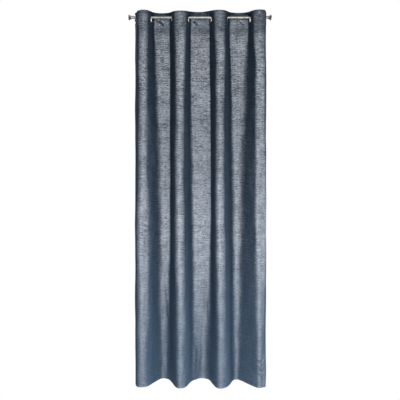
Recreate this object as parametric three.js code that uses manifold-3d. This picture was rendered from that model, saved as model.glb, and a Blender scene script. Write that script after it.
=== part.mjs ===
// An eyelet curtain hanging on a rod, in millimetres: +Z up, the rod along X, the room side at -Y.
// The origin is the middle of the rod's axis.
import * as THREE from "three";
import { mergeVertices } from "three/addons/utils/BufferGeometryUtils.js";
import Module from "manifold-3d";

const wasm = await Module();
wasm.setup();

// ---- Driving dimensions ----

const FIT_GAP = 0.3; // between pieces that touch in use
const HANG_GAP = 0.5; // between the rod's top and the rings, which sit aslant on it

// Cloth, flat: the width is kept at every height, so the folds only move it about.
const FLAT_WIDTH = 1450;
const DROP = 2500;
const TOP = 36; // of the heading, above the rod's axis
const HEM = TOP - DROP;
const HEADING_DEPTH = 92;
const HEADING_FOOT = TOP - HEADING_DEPTH;
const HEADING_THICKNESS = 3; // the cloth folded over its stiffener
const CLOTH_THICKNESS = 2;
const HEM_THICKNESS = 3;
const HEM_DEPTH = 90;
const HEM_STEP = 2; // height over which the hem's extra thickness starts
const ROW_HEIGHT = 160; // of a row of facets
const BEND_FACETS = 4;
const KNEE_FACETS = 2;

// Rod and finials.
const ROD_RADIUS = 8;
const ROD_CHAMFER = 1;
const HALF_SPAN = 466.5; // from the origin to a finial's tip
const SOCKET_FLOOR = 18; // from the finial's tip
const FINIAL_LENGTH = 40;
const COLLAR_RADIUS = 10.4;
const COLLAR_CHAMFER = 0.6;
const ROUND_FACETS = 28;

// The trumpet's outline past the collar: distance back from the tip, and radius.
const TRUMPET = [
  { fromTip: 26, radius: COLLAR_RADIUS },
  { fromTip: 22, radius: 11 },
  { fromTip: 18, radius: 12.4 },
  { fromTip: 14, radius: 14.6 },
  { fromTip: 10, radius: 17.8 },
  { fromTip: 7.5, radius: 19.5 },
  { fromTip: 5.5, radius: 19.5 },
  { fromTip: 4, radius: 18 },
  { fromTip: 1.2, radius: 11.4 },
  { fromTip: 0, radius: 0 },
];

// Eyelets: a ring with a barrel from the face side and a washer behind.
const EYELET_RADIUS = 20; // of the clear hole
const BARREL_RADIUS = 21.6;
const FLANGE_RADIUS = 26;
const FLANGE_THICKNESS = 2.4;
const FLANGE_ROUNDING = 1.4;
const WASHER_THICKNESS = 1.8;
const WASHER_CHAMFER = 1;
const HOLE_RADIUS = 22.1; // punched in the heading
const PUNCH_LENGTH = 16; // longer than the hole is deep
const EYELET_FACETS = 24;
const EYELET_Z = ROD_RADIUS + HANG_GAP - EYELET_RADIUS;

// The eyelets along the rod: x of each centre and the cloth's slope there, in degrees from the rod.
// The cloth runs back and forth between them: front_1 lies between the first two, back_1 after it.
const EYELETS = [
  { x: -415, slope: 75 },
  { x: -316, slope: 75 },
  { x: -184, slope: 75 },
  { x: -74, slope: 75 },
  { x: 73, slope: 75 },
  { x: 178, slope: 75 },
  { x: 325, slope: 75 },
  { x: 416, slope: 104 },
];
const EDGE_MARGIN = 45; // cloth past each outer eyelet
const EYELET_PITCH = (FLAT_WIDTH - 2 * EDGE_MARGIN) / (EYELETS.length - 1);
const KNEE_PAST_EYELET = 31; // the cloth stays flat this far past an outer eyelet
const FRONT_BEND = 30; // radius of the heading's bends on the room side
const BACK_BEND = 12; // and on the wall side
const KNEE_BEND = 20;

// Heights below the heading at which the folds are laid out, with the radius of the bends there.
const LEVELS = [
  { name: "chest", z: -330, bend: 26 },
  { name: "waist", z: -900, bend: 28 },
  { name: "knee", z: -1450, bend: 27 },
  { name: "shin", z: -1950, bend: 25 },
  { name: "hem", z: HEM, bend: 18 },
];

// Each fold's crest at each level: [x, y] of its left and right bends.
const FOLDS = [
  {
    name: "front_1",
    chest: { left: [-395, -66], right: [-337, -66] },
    waist: { left: [-404, -62], right: [-343, -62] },
    knee: { left: [-420, -64], right: [-345, -50] },
    shin: { left: [-424, -66], right: [-352, -52] },
    hem: { left: [-436, -61], right: [-376, -60] },
  },
  {
    name: "back_1",
    chest: { left: [-296, 46], right: [-197, 46] },
    waist: { left: [-283, 47], right: [-200, 54] },
    knee: { left: [-278, 56], right: [-202, 58] },
    shin: { left: [-280, 64], right: [-215, 64] },
    hem: { left: [-269, 83], right: [-222, 70] },
  },
  {
    name: "front_2",
    chest: { left: [-158, -62], right: [-98, -60] },
    waist: { left: [-163, -66], right: [-109, -64] },
    knee: { left: [-166, -66], right: [-104, -58] },
    shin: { left: [-160, -70], right: [-100, -54] },
    hem: { left: [-161, -74], right: [-101, -46] },
  },
  {
    name: "back_2",
    chest: { left: [-67, 38], right: [66, 38] },
    waist: { left: [-63, 42], right: [74, 46] },
    knee: { left: [-57, 50], right: [76, 54] },
    shin: { left: [-52, 46], right: [66, 66] },
    hem: { left: [-66, 10], right: [48, 90] },
  },
  {
    name: "front_3",
    chest: { left: [102, -66], right: [158, -62] },
    waist: { left: [102, -66], right: [156, -64] },
    knee: { left: [103, -66], right: [164, -56] },
    shin: { left: [112, -70], right: [172, -54] },
    hem: { left: [115, -74], right: [180, -47] },
  },
  {
    name: "back_3",
    chest: { left: [197, 38], right: [302, 42] },
    waist: { left: [208, 46], right: [284, 46] },
    knee: { left: [218, 50], right: [276, 50] },
    shin: { left: [226, 54], right: [276, 54] },
    hem: { left: [233, 55], right: [266, 56] },
  },
  {
    name: "front_4",
    chest: { left: [351, -70], right: [423, -68] },
    waist: { left: [354, -64], right: [430, -66] },
    knee: { left: [357, -66], right: [436, -64] },
    shin: { left: [365, -70], right: [436, -68] },
    hem: { left: [378, -74], right: [416, -74] },
  },
];

// The side edges turn back past the outer folds: [x, y] of the knee where each starts to run straight back.
const KNEES = {
  left: { chest: [-426, 12], waist: [-430, 2], knee: [-435, -4], shin: [-439, -4], hem: [-443, 0] },
  right: { chest: [431, 12], waist: [438, 2], knee: [443, -8], shin: [447, -24], hem: [448, -56] },
};
const EDGE_INWARD = 0.08; // x per y of the cloth behind the knees
const BEND_SHARE = 0.48; // most of a straight run that the bend at one end of it may take

const LOOKS = {
  cloth: { color: 0x55637a, roughness: 0.6, metalness: 0.1 },
  heading: { color: 0x4d5868, roughness: 0.65, metalness: 0.1 },
  steel: { color: 0xb9b6b0, roughness: 0.3, metalness: 0.9 },
  eyelet: { color: 0xa9abad, roughness: 0.25, metalness: 0.9 },
};

// ---- The folds in plan ----

const radians = THREE.MathUtils.degToRad;
const cot = (angle) => 1 / Math.tan(angle);
const isFront = (fold) => fold % 2 === 0;

// Cloth that a rounded bend saves against a sharp one.
function bendSaving(radius, turn) {
  return radius * (2 * Math.tan(turn / 2) - turn);
}

// The heading's crest between two eyelets, as deep as the cloth between them reaches.
function headingFold(index) {
  const a = EYELETS[index];
  const b = EYELETS[index + 1];
  const bend = isFront(index) ? FRONT_BEND : BACK_BEND;
  const [slopeA, slopeB] = [radians(a.slope), radians(b.slope)];
  const spare = EYELET_PITCH - (b.x - a.x) + bendSaving(bend, slopeA) + bendSaving(bend, slopeB);
  const depth = spare / (Math.tan(slopeA / 2) + Math.tan(slopeB / 2));
  const y = isFront(index) ? -depth : depth;
  return { left: [a.x + depth * cot(slopeA), y], right: [b.x - depth * cot(slopeB), y] };
}

// The knee past an outer eyelet, on the straight line of its slope.
function headingKnee(eyelet, side) {
  const slope = radians(eyelet.slope);
  return [eyelet.x + side * KNEE_PAST_EYELET * Math.cos(slope), KNEE_PAST_EYELET * Math.sin(slope)];
}

// One row of numbers for each height: the bends' x and y and their radii, from the left edge to the right.
function headingRow() {
  const bends = FOLDS.flatMap((_, index) => {
    const { left, right } = headingFold(index);
    const bend = isFront(index) ? FRONT_BEND : BACK_BEND;
    return [...left, bend, ...right, bend];
  });
  const leftKnee = headingKnee(EYELETS[0], -1);
  const rightKnee = headingKnee(EYELETS[EYELETS.length - 1], 1);
  return [...leftKnee, KNEE_BEND, ...bends, ...rightKnee, KNEE_BEND];
}

function levelRow(level) {
  const bends = FOLDS.flatMap((fold) => {
    const { left, right } = fold[level.name];
    return [...left, level.bend, ...right, level.bend];
  });
  return [...KNEES.left[level.name], KNEE_BEND, ...bends, ...KNEES.right[level.name], KNEE_BEND];
}

const STATIONS = [
  { z: HEADING_FOOT, row: headingRow() },
  ...LEVELS.map((level) => ({ z: level.z, row: levelRow(level) })),
];

// Slope of one number of the row from station to station, level at both ends.
function stationSlope(index, column) {
  if (index === 0 || index === STATIONS.length - 1) {
    return 0;
  }
  const above = STATIONS[index - 1];
  const below = STATIONS[index + 1];
  return (below.row[column] - above.row[column]) / (below.z - above.z);
}

// The row at any height, by a smooth cubic between the stations above and below it.
function rowAt(z) {
  const next = Math.max(1, STATIONS.findIndex((station) => station.z <= z));
  const above = STATIONS[next - 1];
  const below = STATIONS[next];
  const span = below.z - above.z;
  const t = THREE.MathUtils.clamp((z - above.z) / span, 0, 1);
  return above.row.map((value, column) => {
    const out = stationSlope(next - 1, column) * span;
    const into = stationSlope(next, column) * span;
    const turn = value - below.row[column];
    return value + t * (out - t * (3 * turn + 2 * out + into - t * (2 * turn + out + into)));
  });
}

// A bend: an arc that leaves one straight run and joins the next.
function makeBend(before, corner, after, radius) {
  const arriving = corner.clone().sub(before);
  const leaving = after.clone().sub(corner);
  const room = BEND_SHARE * Math.min(arriving.length(), leaving.length());
  arriving.normalize();
  leaving.normalize();
  const cross = arriving.cross(leaving);
  const turn = Math.atan2(Math.abs(cross), arriving.dot(leaving));
  const tangent = Math.min(radius * Math.tan(turn / 2), room);
  const inward = new THREE.Vector2(-arriving.y, arriving.x).multiplyScalar(Math.sign(cross) || 1);
  return { corner, arriving, inward, turn, tangent, radius: tangent / Math.tan(turn / 2) };
}

// Points round a bend, each with the cloth's direction there.
function bendPoints(bend, facets) {
  const start = bend.corner.clone().addScaledVector(bend.arriving, -bend.tangent);
  return Array.from({ length: facets + 1 }, (_, step) => {
    const angle = (bend.turn * step) / facets;
    const point = start.clone();
    point.addScaledVector(bend.arriving, bend.radius * Math.sin(angle));
    point.addScaledVector(bend.inward, bend.radius * (1 - Math.cos(angle)));
    const direction = bend.arriving.clone().multiplyScalar(Math.cos(angle));
    direction.addScaledVector(bend.inward, Math.sin(angle));
    return { point, direction };
  });
}

// The cloth's middle line at one height, from the left edge to the right, always FLAT_WIDTH long.
function planAt(z) {
  const row = rowAt(z);
  const corners = [];
  for (let i = 0; i < row.length; i += 3) {
    corners.push({ at: new THREE.Vector2(row[i], row[i + 1]), radius: row[i + 2] });
  }
  const last = corners.length - 1;
  const backLeft = new THREE.Vector2(EDGE_INWARD, 1).normalize();
  const backRight = new THREE.Vector2(-EDGE_INWARD, 1).normalize();
  const reach = FLAT_WIDTH; // far enough for the knees' bends to be laid out
  const line = [corners[0].at.clone().addScaledVector(backLeft, reach), ...corners.map((c) => c.at)];
  line.push(corners[last].at.clone().addScaledVector(backRight, reach));
  const bends = corners.map((c, i) => makeBend(line[i], c.at, line[i + 2], c.radius));
  let length = 0;
  for (let i = 1; i <= last; i += 1) {
    length += corners[i].at.distanceTo(corners[i - 1].at);
  }
  bends.forEach((bend) => {
    length -= 2 * bend.tangent - bend.radius * bend.turn;
  });
  const edgeRun = (FLAT_WIDTH - length) / 2;
  const leftEnd = corners[0].at.clone().addScaledVector(backLeft, edgeRun);
  const rightEnd = corners[last].at.clone().addScaledVector(backRight, edgeRun);
  const points = [{ point: leftEnd, direction: backLeft.clone().negate() }];
  bends.forEach((bend, i) => {
    const facets = i === 0 || i === last ? KNEE_FACETS : BEND_FACETS;
    const run = bendPoints(bend, facets);
    const runsBetweenFolds = i > 1 && i < last && i % 2 === 1;
    if (runsBetweenFolds) {
      const halfWay = points[points.length - 1].point.clone().lerp(run[0].point, 0.5);
      points.push({ point: halfWay, direction: run[0].direction });
    }
    points.push(...run);
  });
  points.push({ point: rightEnd, direction: backRight });
  return points;
}

// ---- Geometry helpers ----

const WELD_DISTANCE = 1e-4;

// A closed sheet through rows of plan points, each row with its height and thickness, from the top down.
function closedSheet(rows) {
  const positions = [];
  const faces = [];
  const columns = rows[0].plan.length;
  const index = (row, column, back) => 2 * (row * columns + column) + back;
  rows.forEach(({ plan, z, thickness }) => {
    plan.forEach(({ point, direction }) => {
      [-0.5, 0.5].forEach((side) => {
        const offset = side * thickness;
        positions.push(point.x - direction.y * offset, point.y + direction.x * offset, z);
      });
    });
  });
  const quad = (a, b, c, d) => faces.push(a, b, c, a, c, d);
  for (let r = 0; r + 1 < rows.length; r += 1) {
    for (let c = 0; c + 1 < columns; c += 1) {
      quad(index(r, c, 0), index(r + 1, c, 0), index(r + 1, c + 1, 0), index(r, c + 1, 0));
      quad(index(r, c, 1), index(r, c + 1, 1), index(r + 1, c + 1, 1), index(r + 1, c, 1));
    }
    quad(index(r, 0, 0), index(r, 0, 1), index(r + 1, 0, 1), index(r + 1, 0, 0));
    const end = columns - 1;
    quad(index(r, end, 0), index(r + 1, end, 0), index(r + 1, end, 1), index(r, end, 1));
  }
  const foot = rows.length - 1;
  for (let c = 0; c + 1 < columns; c += 1) {
    quad(index(0, c, 0), index(0, c + 1, 0), index(0, c + 1, 1), index(0, c, 1));
    quad(index(foot, c, 0), index(foot, c, 1), index(foot, c + 1, 1), index(foot, c + 1, 0));
  }
  const geometry = new THREE.BufferGeometry();
  geometry.setAttribute("position", new THREE.Float32BufferAttribute(positions, 3));
  geometry.setIndex(faces);
  return geometry;
}

function toManifold(geometry) {
  const bare = geometry.clone();
  bare.deleteAttribute("normal");
  bare.deleteAttribute("uv");
  const merged = mergeVertices(bare, WELD_DISTANCE);
  return new wasm.Manifold(new wasm.Mesh({
    numProp: 3,
    vertProperties: new Float32Array(merged.attributes.position.array),
    triVerts: new Uint32Array(merged.index.array),
  }));
}

function fromManifold(solid) {
  const mesh = solid.getMesh();
  const geometry = new THREE.BufferGeometry();
  geometry.setAttribute("position", new THREE.Float32BufferAttribute(mesh.vertProperties, 3));
  geometry.setIndex(Array.from(mesh.triVerts));
  return geometry;
}

// A turned piece from its profile, [radius, height] along the local Y axis.
function turned(profile, facets) {
  return new THREE.LatheGeometry(profile.map(([radius, along]) => new THREE.Vector2(radius, along)), facets);
}

// Turns a piece's local Y axis to the way the cloth faces at an eyelet.
function faceEyelet(object, index) {
  const slope = radians(EYELETS[index].slope);
  const sideways = index % 2 === 1 ? Math.sin(slope) : -Math.sin(slope);
  object.position.set(EYELETS[index].x, 0, EYELET_Z);
  object.rotation.z = Math.atan2(-sideways, -Math.cos(slope));
}

function named(name, geometry, look) {
  const mesh = new THREE.Mesh(geometry, new THREE.MeshStandardMaterial(look));
  mesh.name = name;
  return mesh;
}

// ---- Pieces ----

function curtainPanel() {
  const top = HEADING_FOOT - FIT_GAP;
  const hemLine = HEM + HEM_DEPTH;
  const count = Math.round((top - hemLine) / ROW_HEIGHT);
  const rows = [];
  for (let i = 0; i <= count; i += 1) {
    const z = top + ((hemLine + HEM_STEP - top) * i) / count;
    rows.push({ plan: planAt(z), z, thickness: CLOTH_THICKNESS });
  }
  rows.push({ plan: planAt(hemLine), z: hemLine, thickness: HEM_THICKNESS });
  rows.push({ plan: planAt(HEM), z: HEM, thickness: HEM_THICKNESS });
  return named("curtain_panel", closedSheet(rows), LOOKS.cloth);
}

function headingBand() {
  const plan = planAt(HEADING_FOOT);
  const strip = closedSheet([
    { plan, z: TOP, thickness: HEADING_THICKNESS },
    { plan, z: HEADING_FOOT, thickness: HEADING_THICKNESS },
  ]);
  let solid = toManifold(strip);
  EYELETS.forEach((_, index) => {
    const cylinder = new THREE.CylinderGeometry(HOLE_RADIUS, HOLE_RADIUS, PUNCH_LENGTH, EYELET_FACETS);
    const punch = new THREE.Mesh(cylinder);
    faceEyelet(punch, index);
    punch.updateMatrix();
    solid = solid.subtract(toManifold(punch.geometry.applyMatrix4(punch.matrix)));
  });
  return named("heading_band", fromManifold(solid), LOOKS.heading);
}

function eyeletRing(index) {
  const seat = HEADING_THICKNESS / 2 + FIT_GAP;
  const face = seat + FLANGE_THICKNESS;
  const barrelEnd = -(seat + WASHER_THICKNESS + FIT_GAP);
  const profile = [
    [EYELET_RADIUS, barrelEnd],
    [BARREL_RADIUS, barrelEnd],
    [BARREL_RADIUS, seat],
    [FLANGE_RADIUS, seat],
    [FLANGE_RADIUS, face - FLANGE_ROUNDING],
    [FLANGE_RADIUS - FLANGE_ROUNDING, face],
    [EYELET_RADIUS + FLANGE_ROUNDING, face],
    [EYELET_RADIUS, face - FLANGE_ROUNDING],
    [EYELET_RADIUS, barrelEnd],
  ];
  const ring = named(`eyelet_${index + 1}_ring`, turned(profile, EYELET_FACETS), LOOKS.eyelet);
  faceEyelet(ring, index);
  return ring;
}

function eyeletWasher(index) {
  const seat = -(HEADING_THICKNESS / 2 + FIT_GAP);
  const back = seat - WASHER_THICKNESS;
  const inner = BARREL_RADIUS + FIT_GAP;
  const profile = [
    [inner, back],
    [FLANGE_RADIUS - WASHER_CHAMFER, back],
    [FLANGE_RADIUS, back + WASHER_CHAMFER],
    [FLANGE_RADIUS, seat],
    [inner, seat],
    [inner, back],
  ];
  const washer = named(`eyelet_${index + 1}_washer`, turned(profile, EYELET_FACETS), LOOKS.eyelet);
  faceEyelet(washer, index);
  return washer;
}

function rod() {
  const half = HALF_SPAN - SOCKET_FLOOR - FIT_GAP;
  const profile = [
    [0, -half],
    [ROD_RADIUS - ROD_CHAMFER, -half],
    [ROD_RADIUS, -half + ROD_CHAMFER],
    [ROD_RADIUS, half - ROD_CHAMFER],
    [ROD_RADIUS - ROD_CHAMFER, half],
    [0, half],
  ];
  const bar = named("rod", turned(profile, ROUND_FACETS), LOOKS.steel);
  bar.rotation.z = -Math.PI / 2;
  return bar;
}

// A trumpet with a domed end; its socket slides over the rod. Local Y runs from the collar out to the tip.
function finial(name, side) {
  const tip = HALF_SPAN;
  const bore = ROD_RADIUS + FIT_GAP;
  const profile = [
    [0, tip - SOCKET_FLOOR],
    [bore, tip - SOCKET_FLOOR],
    [bore, tip - FINIAL_LENGTH],
    [COLLAR_RADIUS - COLLAR_CHAMFER, tip - FINIAL_LENGTH],
    [COLLAR_RADIUS, tip - FINIAL_LENGTH + COLLAR_CHAMFER],
    ...TRUMPET.map(({ fromTip, radius }) => [radius, tip - fromTip]),
  ];
  const trumpet = named(name, turned(profile, ROUND_FACETS), LOOKS.steel);
  trumpet.rotation.z = side < 0 ? Math.PI / 2 : -Math.PI / 2;
  return trumpet;
}

const curtain = new THREE.Group();
curtain.add(curtainPanel());
curtain.add(headingBand());
EYELETS.forEach((_, index) => {
  curtain.add(eyeletRing(index));
  curtain.add(eyeletWasher(index));
});
curtain.add(rod());
curtain.add(finial("finial_left", -1));
curtain.add(finial("finial_right", 1));

export default curtain;
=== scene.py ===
"""An eyelet curtain hanging on its rod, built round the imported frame.

Metres throughout: +Z up, the rod along X, the room side at -Y, the origin in the middle of the rod's axis.
"""

import math
from collections import namedtuple

import bpy
import numpy as np
from mathutils import Matrix, Vector


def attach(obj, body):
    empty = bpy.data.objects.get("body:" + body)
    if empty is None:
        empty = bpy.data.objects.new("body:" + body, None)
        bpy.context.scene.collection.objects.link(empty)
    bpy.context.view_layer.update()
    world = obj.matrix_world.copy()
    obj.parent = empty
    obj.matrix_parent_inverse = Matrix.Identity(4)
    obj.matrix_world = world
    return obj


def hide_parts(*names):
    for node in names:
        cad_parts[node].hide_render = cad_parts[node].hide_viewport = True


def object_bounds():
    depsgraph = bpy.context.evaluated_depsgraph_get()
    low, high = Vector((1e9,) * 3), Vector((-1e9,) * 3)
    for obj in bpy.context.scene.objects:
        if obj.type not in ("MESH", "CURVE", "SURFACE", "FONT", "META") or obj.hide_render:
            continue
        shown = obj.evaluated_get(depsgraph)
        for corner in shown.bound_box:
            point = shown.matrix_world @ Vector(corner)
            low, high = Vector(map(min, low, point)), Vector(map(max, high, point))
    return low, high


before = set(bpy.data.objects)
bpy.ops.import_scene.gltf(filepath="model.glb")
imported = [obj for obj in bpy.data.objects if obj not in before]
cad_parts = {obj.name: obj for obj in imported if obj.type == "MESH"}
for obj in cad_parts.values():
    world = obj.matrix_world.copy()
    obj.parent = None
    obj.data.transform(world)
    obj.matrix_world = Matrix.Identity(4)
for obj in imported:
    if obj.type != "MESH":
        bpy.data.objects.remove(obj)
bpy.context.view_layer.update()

MM = 0.001

# ---- Sizes that the frame's solids share, in millimetres as they are drawn ----

FLAT_WIDTH = 1450
DROP = 2500
TOP = 36
HEM = TOP - DROP
HEADING_DEPTH = 92
HEADING_FOOT = TOP - HEADING_DEPTH
HEM_DEPTH = 90
ROD_RADIUS = 8
HANG_GAP = 0.5
HALF_SPAN = 466.5
EYELET_RADIUS = 20
BARREL_RADIUS = 21.6
FLANGE_RADIUS = 26
EYELET_Z = ROD_RADIUS + HANG_GAP - EYELET_RADIUS
HEADING_THICKNESS = 3
FIT_GAP = 0.3

Eyelet = namedtuple("Eyelet", "x slope")
EYELETS = [
    Eyelet(-415, 75),
    Eyelet(-316, 75),
    Eyelet(-184, 75),
    Eyelet(-74, 75),
    Eyelet(73, 75),
    Eyelet(178, 75),
    Eyelet(325, 75),
    Eyelet(416, 104),
]
EDGE_MARGIN = 45  # of cloth outside the outer eyelets
EYELET_PITCH = (FLAT_WIDTH - 2 * EDGE_MARGIN) / (len(EYELETS) - 1)
KNEE_PAST_EYELET = 31
FRONT_BEND = 30
BACK_BEND = 12
KNEE_BEND = 20
EDGE_INWARD = 0.08  # lean of the side edges to the middle as they run back
BEND_SHARE = 0.48  # of its shorter straight, that a bend may take
LEAST_TURN = 1e-6

# ---- The folds in plan: the frame's cloth, fitted a little closer to the real one ----

Level = namedtuple("Level", "name z")
LEVELS = [
    Level("chest", -330),
    Level("waist", -900),
    Level("knee", -1450),
    Level("shin", -1950),
    Level("hem", HEM),
]

# Each fold's crest at each level: x and y of its left bend, then of its right one.
Fold = namedtuple("Fold", "name chest waist knee shin hem")
FOLDS = [
    Fold("front_1", (-395, -66, -344, -66), (-407, -62, -356, -62), (-425, -64, -348, -50),
         (-424, -66, -352, -52), (-433, -61, -371, -60)),
    Fold("back_1", (-294, 46, -196, 46), (-278, 47, -198, 54), (-275, 56, -199, 58),
         (-280, 64, -210, 64), (-269, 83, -219, 71)),
    Fold("front_2", (-158, -62, -100, -60), (-166, -66, -112, -64), (-169, -66, -107, -58),
         (-160, -70, -100, -54), (-152, -74, -96, -46)),
    Fold("back_2", (-67, 38, 66, 38), (-63, 42, 74, 46), (-58, 50, 76, 54),
         (-54, 46, 70, 64), (-61, 20, 42, 85)),
    Fold("front_3", (102, -66, 157, -62), (98, -66, 151, -64), (99, -66, 162, -56),
         (112, -70, 172, -54), (120, -74, 183, -47)),
    Fold("back_3", (197, 38, 302, 42), (208, 46, 284, 46), (217, 50, 277, 50),
         (221, 54, 274, 54), (231, 55, 265, 57)),
    Fold("front_4", (358, -70, 423, -66), (363, -64, 430, -62), (372, -66, 438, -51),
         (388, -74, 438, -50), (394, -76, 425, -58)),
]

FOLD_NAMES = [fold.name for fold in FOLDS]

# The radius of each fold's left and right bend, at each level.
Rounding = namedtuple("Rounding", "name chest waist knee shin hem")
ROUNDINGS = [
    Rounding("front_1", (26, 40), (28, 36), (22, 50), (24, 50), (18, 44)),
    Rounding("back_1", (38, 8), (56, 9), (52, 10), (45, 24), (40, 60)),
    Rounding("front_2", (26, 26), (26, 30), (24, 32), (22, 30), (18, 24)),
    Rounding("back_2", (15, 10), (36, 8), (32, 11), (28, 38), (24, 85)),
    Rounding("front_3", (26, 26), (26, 28), (22, 32), (22, 30), (18, 24)),
    Rounding("back_3", (15, 60), (36, 64), (36, 70), (30, 80), (26, 90)),
    Rounding("front_4", (26, 24), (22, 18), (26, 8), (60, 12), (56, 18)),
]

# The knees past the outer folds, from which the side edges run straight back.
Knee = namedtuple("Knee", "chest waist knee shin hem")
LEFT_KNEE = Knee((-425, 12), (-429, 2), (-435, -4), (-440, -4), (-443, 0))
RIGHT_KNEE = Knee((431, 12), (435, 2), (441, -8), (445, -24), (447, -56))


def bend_saving(radius, turn):
    """Cloth that a rounded bend saves against a sharp one."""
    return radius * (2 * math.tan(turn / 2) - turn)


def heading_fold(index):
    """The heading's crest between two eyelets: its two bends as (x, y, radius)."""
    a, b = EYELETS[index], EYELETS[index + 1]
    bend = BACK_BEND if index % 2 else FRONT_BEND
    slope_a, slope_b = math.radians(a.slope), math.radians(b.slope)
    spare = EYELET_PITCH - (b.x - a.x) + bend_saving(bend, slope_a) + bend_saving(bend, slope_b)
    depth = spare / (math.tan(slope_a / 2) + math.tan(slope_b / 2))
    y = depth if index % 2 else -depth
    return [(a.x + depth / math.tan(slope_a), y, bend), (b.x - depth / math.tan(slope_b), y, bend)]


def heading_knee(eyelet, side):
    """The heading's corner past an outer eyelet, as (x, y, radius)."""
    slope = math.radians(eyelet.slope)
    sideways, back = KNEE_PAST_EYELET * math.cos(slope), KNEE_PAST_EYELET * math.sin(slope)
    return (eyelet.x + side * sideways, back, KNEE_BEND)


def heading_corners():
    corners = [heading_knee(EYELETS[0], -1)]
    for index in range(len(FOLDS)):
        corners += heading_fold(index)
    return np.array(corners + [heading_knee(EYELETS[-1], 1)])


def level_corners(level):
    corners = [(*getattr(LEFT_KNEE, level.name), KNEE_BEND)]
    for fold, rounding in zip(FOLDS, ROUNDINGS):
        left_x, left_y, right_x, right_y = getattr(fold, level.name)
        left_bend, right_bend = getattr(rounding, level.name)
        corners += [(left_x, left_y, left_bend), (right_x, right_y, right_bend)]
    return np.array(corners + [(*getattr(RIGHT_KNEE, level.name), KNEE_BEND)])


STATION_Z = [HEADING_FOOT] + [level.z for level in LEVELS]
STATIONS = [heading_corners()] + [level_corners(level) for level in LEVELS]
CORNERS = len(STATIONS[0])


def station_slope(index):
    """How the corners move from station to station, level at both ends."""
    if index in (0, len(STATIONS) - 1):
        return np.zeros_like(STATIONS[0])
    return (STATIONS[index + 1] - STATIONS[index - 1]) / (STATION_Z[index + 1] - STATION_Z[index - 1])


def corners_at(z):
    """The corners at any height, by a smooth cubic between stations."""
    below = next((i for i, station in enumerate(STATION_Z) if station <= z), len(STATION_Z) - 1)
    below = max(1, below)
    span = STATION_Z[below] - STATION_Z[below - 1]
    t = min(1.0, max(0.0, (z - STATION_Z[below - 1]) / span))
    start, end = STATIONS[below - 1], STATIONS[below]
    out, into = station_slope(below - 1) * span, station_slope(below) * span
    turn = start - end
    return start + t * (out - t * (3 * turn + 2 * out + into - t * (2 * turn + out + into)))


# ---- The cloth's line at one height ----

LINE_STEP = 1.0  # mm between the points that the line is worked out at

# Over how many mm of cloth a bend eases into its straights, at the chest and at the hem.
EASINGS = {
    "front": (13.0, 18.0),
    "crisp": (3.0, 10.0),  # the back folds, and the last front fold
}
KNEE_EASING = 3.0
TOP_EASING = 40.0  # of all but the knees, at the top edge above the eyelets' flanges
EASING_REACH = 3  # easings on each side that count
DEPTH_GAIN = 0.12  # share of the folds' depth that is given back at the hem for what the easing takes off
RING_TOP = EYELET_Z + FLANGE_RADIUS

Bend = namedtuple("Bend", "tangent turn radius side")


def smooth(t):
    t = np.clip(t, 0.0, 1.0)
    return t * t * (3 - 2 * t)


def raised_at(z):
    """0 up to the eyelets' flanges, rising to 1 at the top edge."""
    return smooth((z - RING_TOP) / (TOP - RING_TOP))


def lowered_at(z):
    """0 down to the chest, rising to 1 at the hem."""
    return smooth((LEVELS[0].z - z) / (LEVELS[0].z - HEM))


def unit(v):
    return v / np.linalg.norm(v)


def bends_at(corners):
    """Each corner's bend, and the directions in which the left and right edges run back.

    A bend has the length of its tangents, its turn, the radius that fits them, and its side, 1 or -1.
    """
    back_left, back_right = unit(np.array([EDGE_INWARD, 1.0])), unit(np.array([-EDGE_INWARD, 1.0]))
    places = corners[:, :2]
    line = [places[0] + back_left * FLAT_WIDTH, *places, places[-1] + back_right * FLAT_WIDTH]
    found = []
    for i, (x, y, radius) in enumerate(corners):
        corner = np.array([x, y])
        arriving, leaving = corner - line[i], line[i + 2] - corner
        room = BEND_SHARE * min(np.linalg.norm(arriving), np.linalg.norm(leaving))
        arriving, leaving = unit(arriving), unit(leaving)
        cross = arriving[0] * leaving[1] - arriving[1] * leaving[0]
        turn = max(LEAST_TURN, math.atan2(abs(cross), float(arriving @ leaving)))
        tangent = min(radius * math.tan(turn / 2), room)
        side = math.copysign(1.0, cross)
        found.append(Bend(tangent, turn, tangent / math.tan(turn / 2), side))
    return found, back_left, back_right


def bend_kind(corner):
    """Whether a corner's bend is a knee's, a front fold's or a crisp one."""
    if corner in (0, CORNERS - 1):
        return "knee"
    fold = (corner - 1) // 2
    return "front" if fold % 2 == 0 and fold < len(FOLDS) - 1 else "crisp"


def blurred(values, easing):
    """One row of values, one a step, blurred over an easing of cloth."""
    reach = int(EASING_REACH * easing / LINE_STEP)
    kernel = np.exp(-0.5 * (np.arange(-reach, reach + 1) * LINE_STEP / easing) ** 2)
    return np.convolve(np.pad(values, reach, mode="edge"), kernel / kernel.sum(), mode="valid")


def easings_at(z):
    """How far each kind of bend is eased at one height."""
    found = {"knee": KNEE_EASING}
    for kind, (at_chest, at_hem) in EASINGS.items():
        easing = at_chest + lowered_at(z) * (at_hem - at_chest)
        found[kind] = easing + raised_at(z) * (TOP_EASING - easing)
    return found


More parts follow.
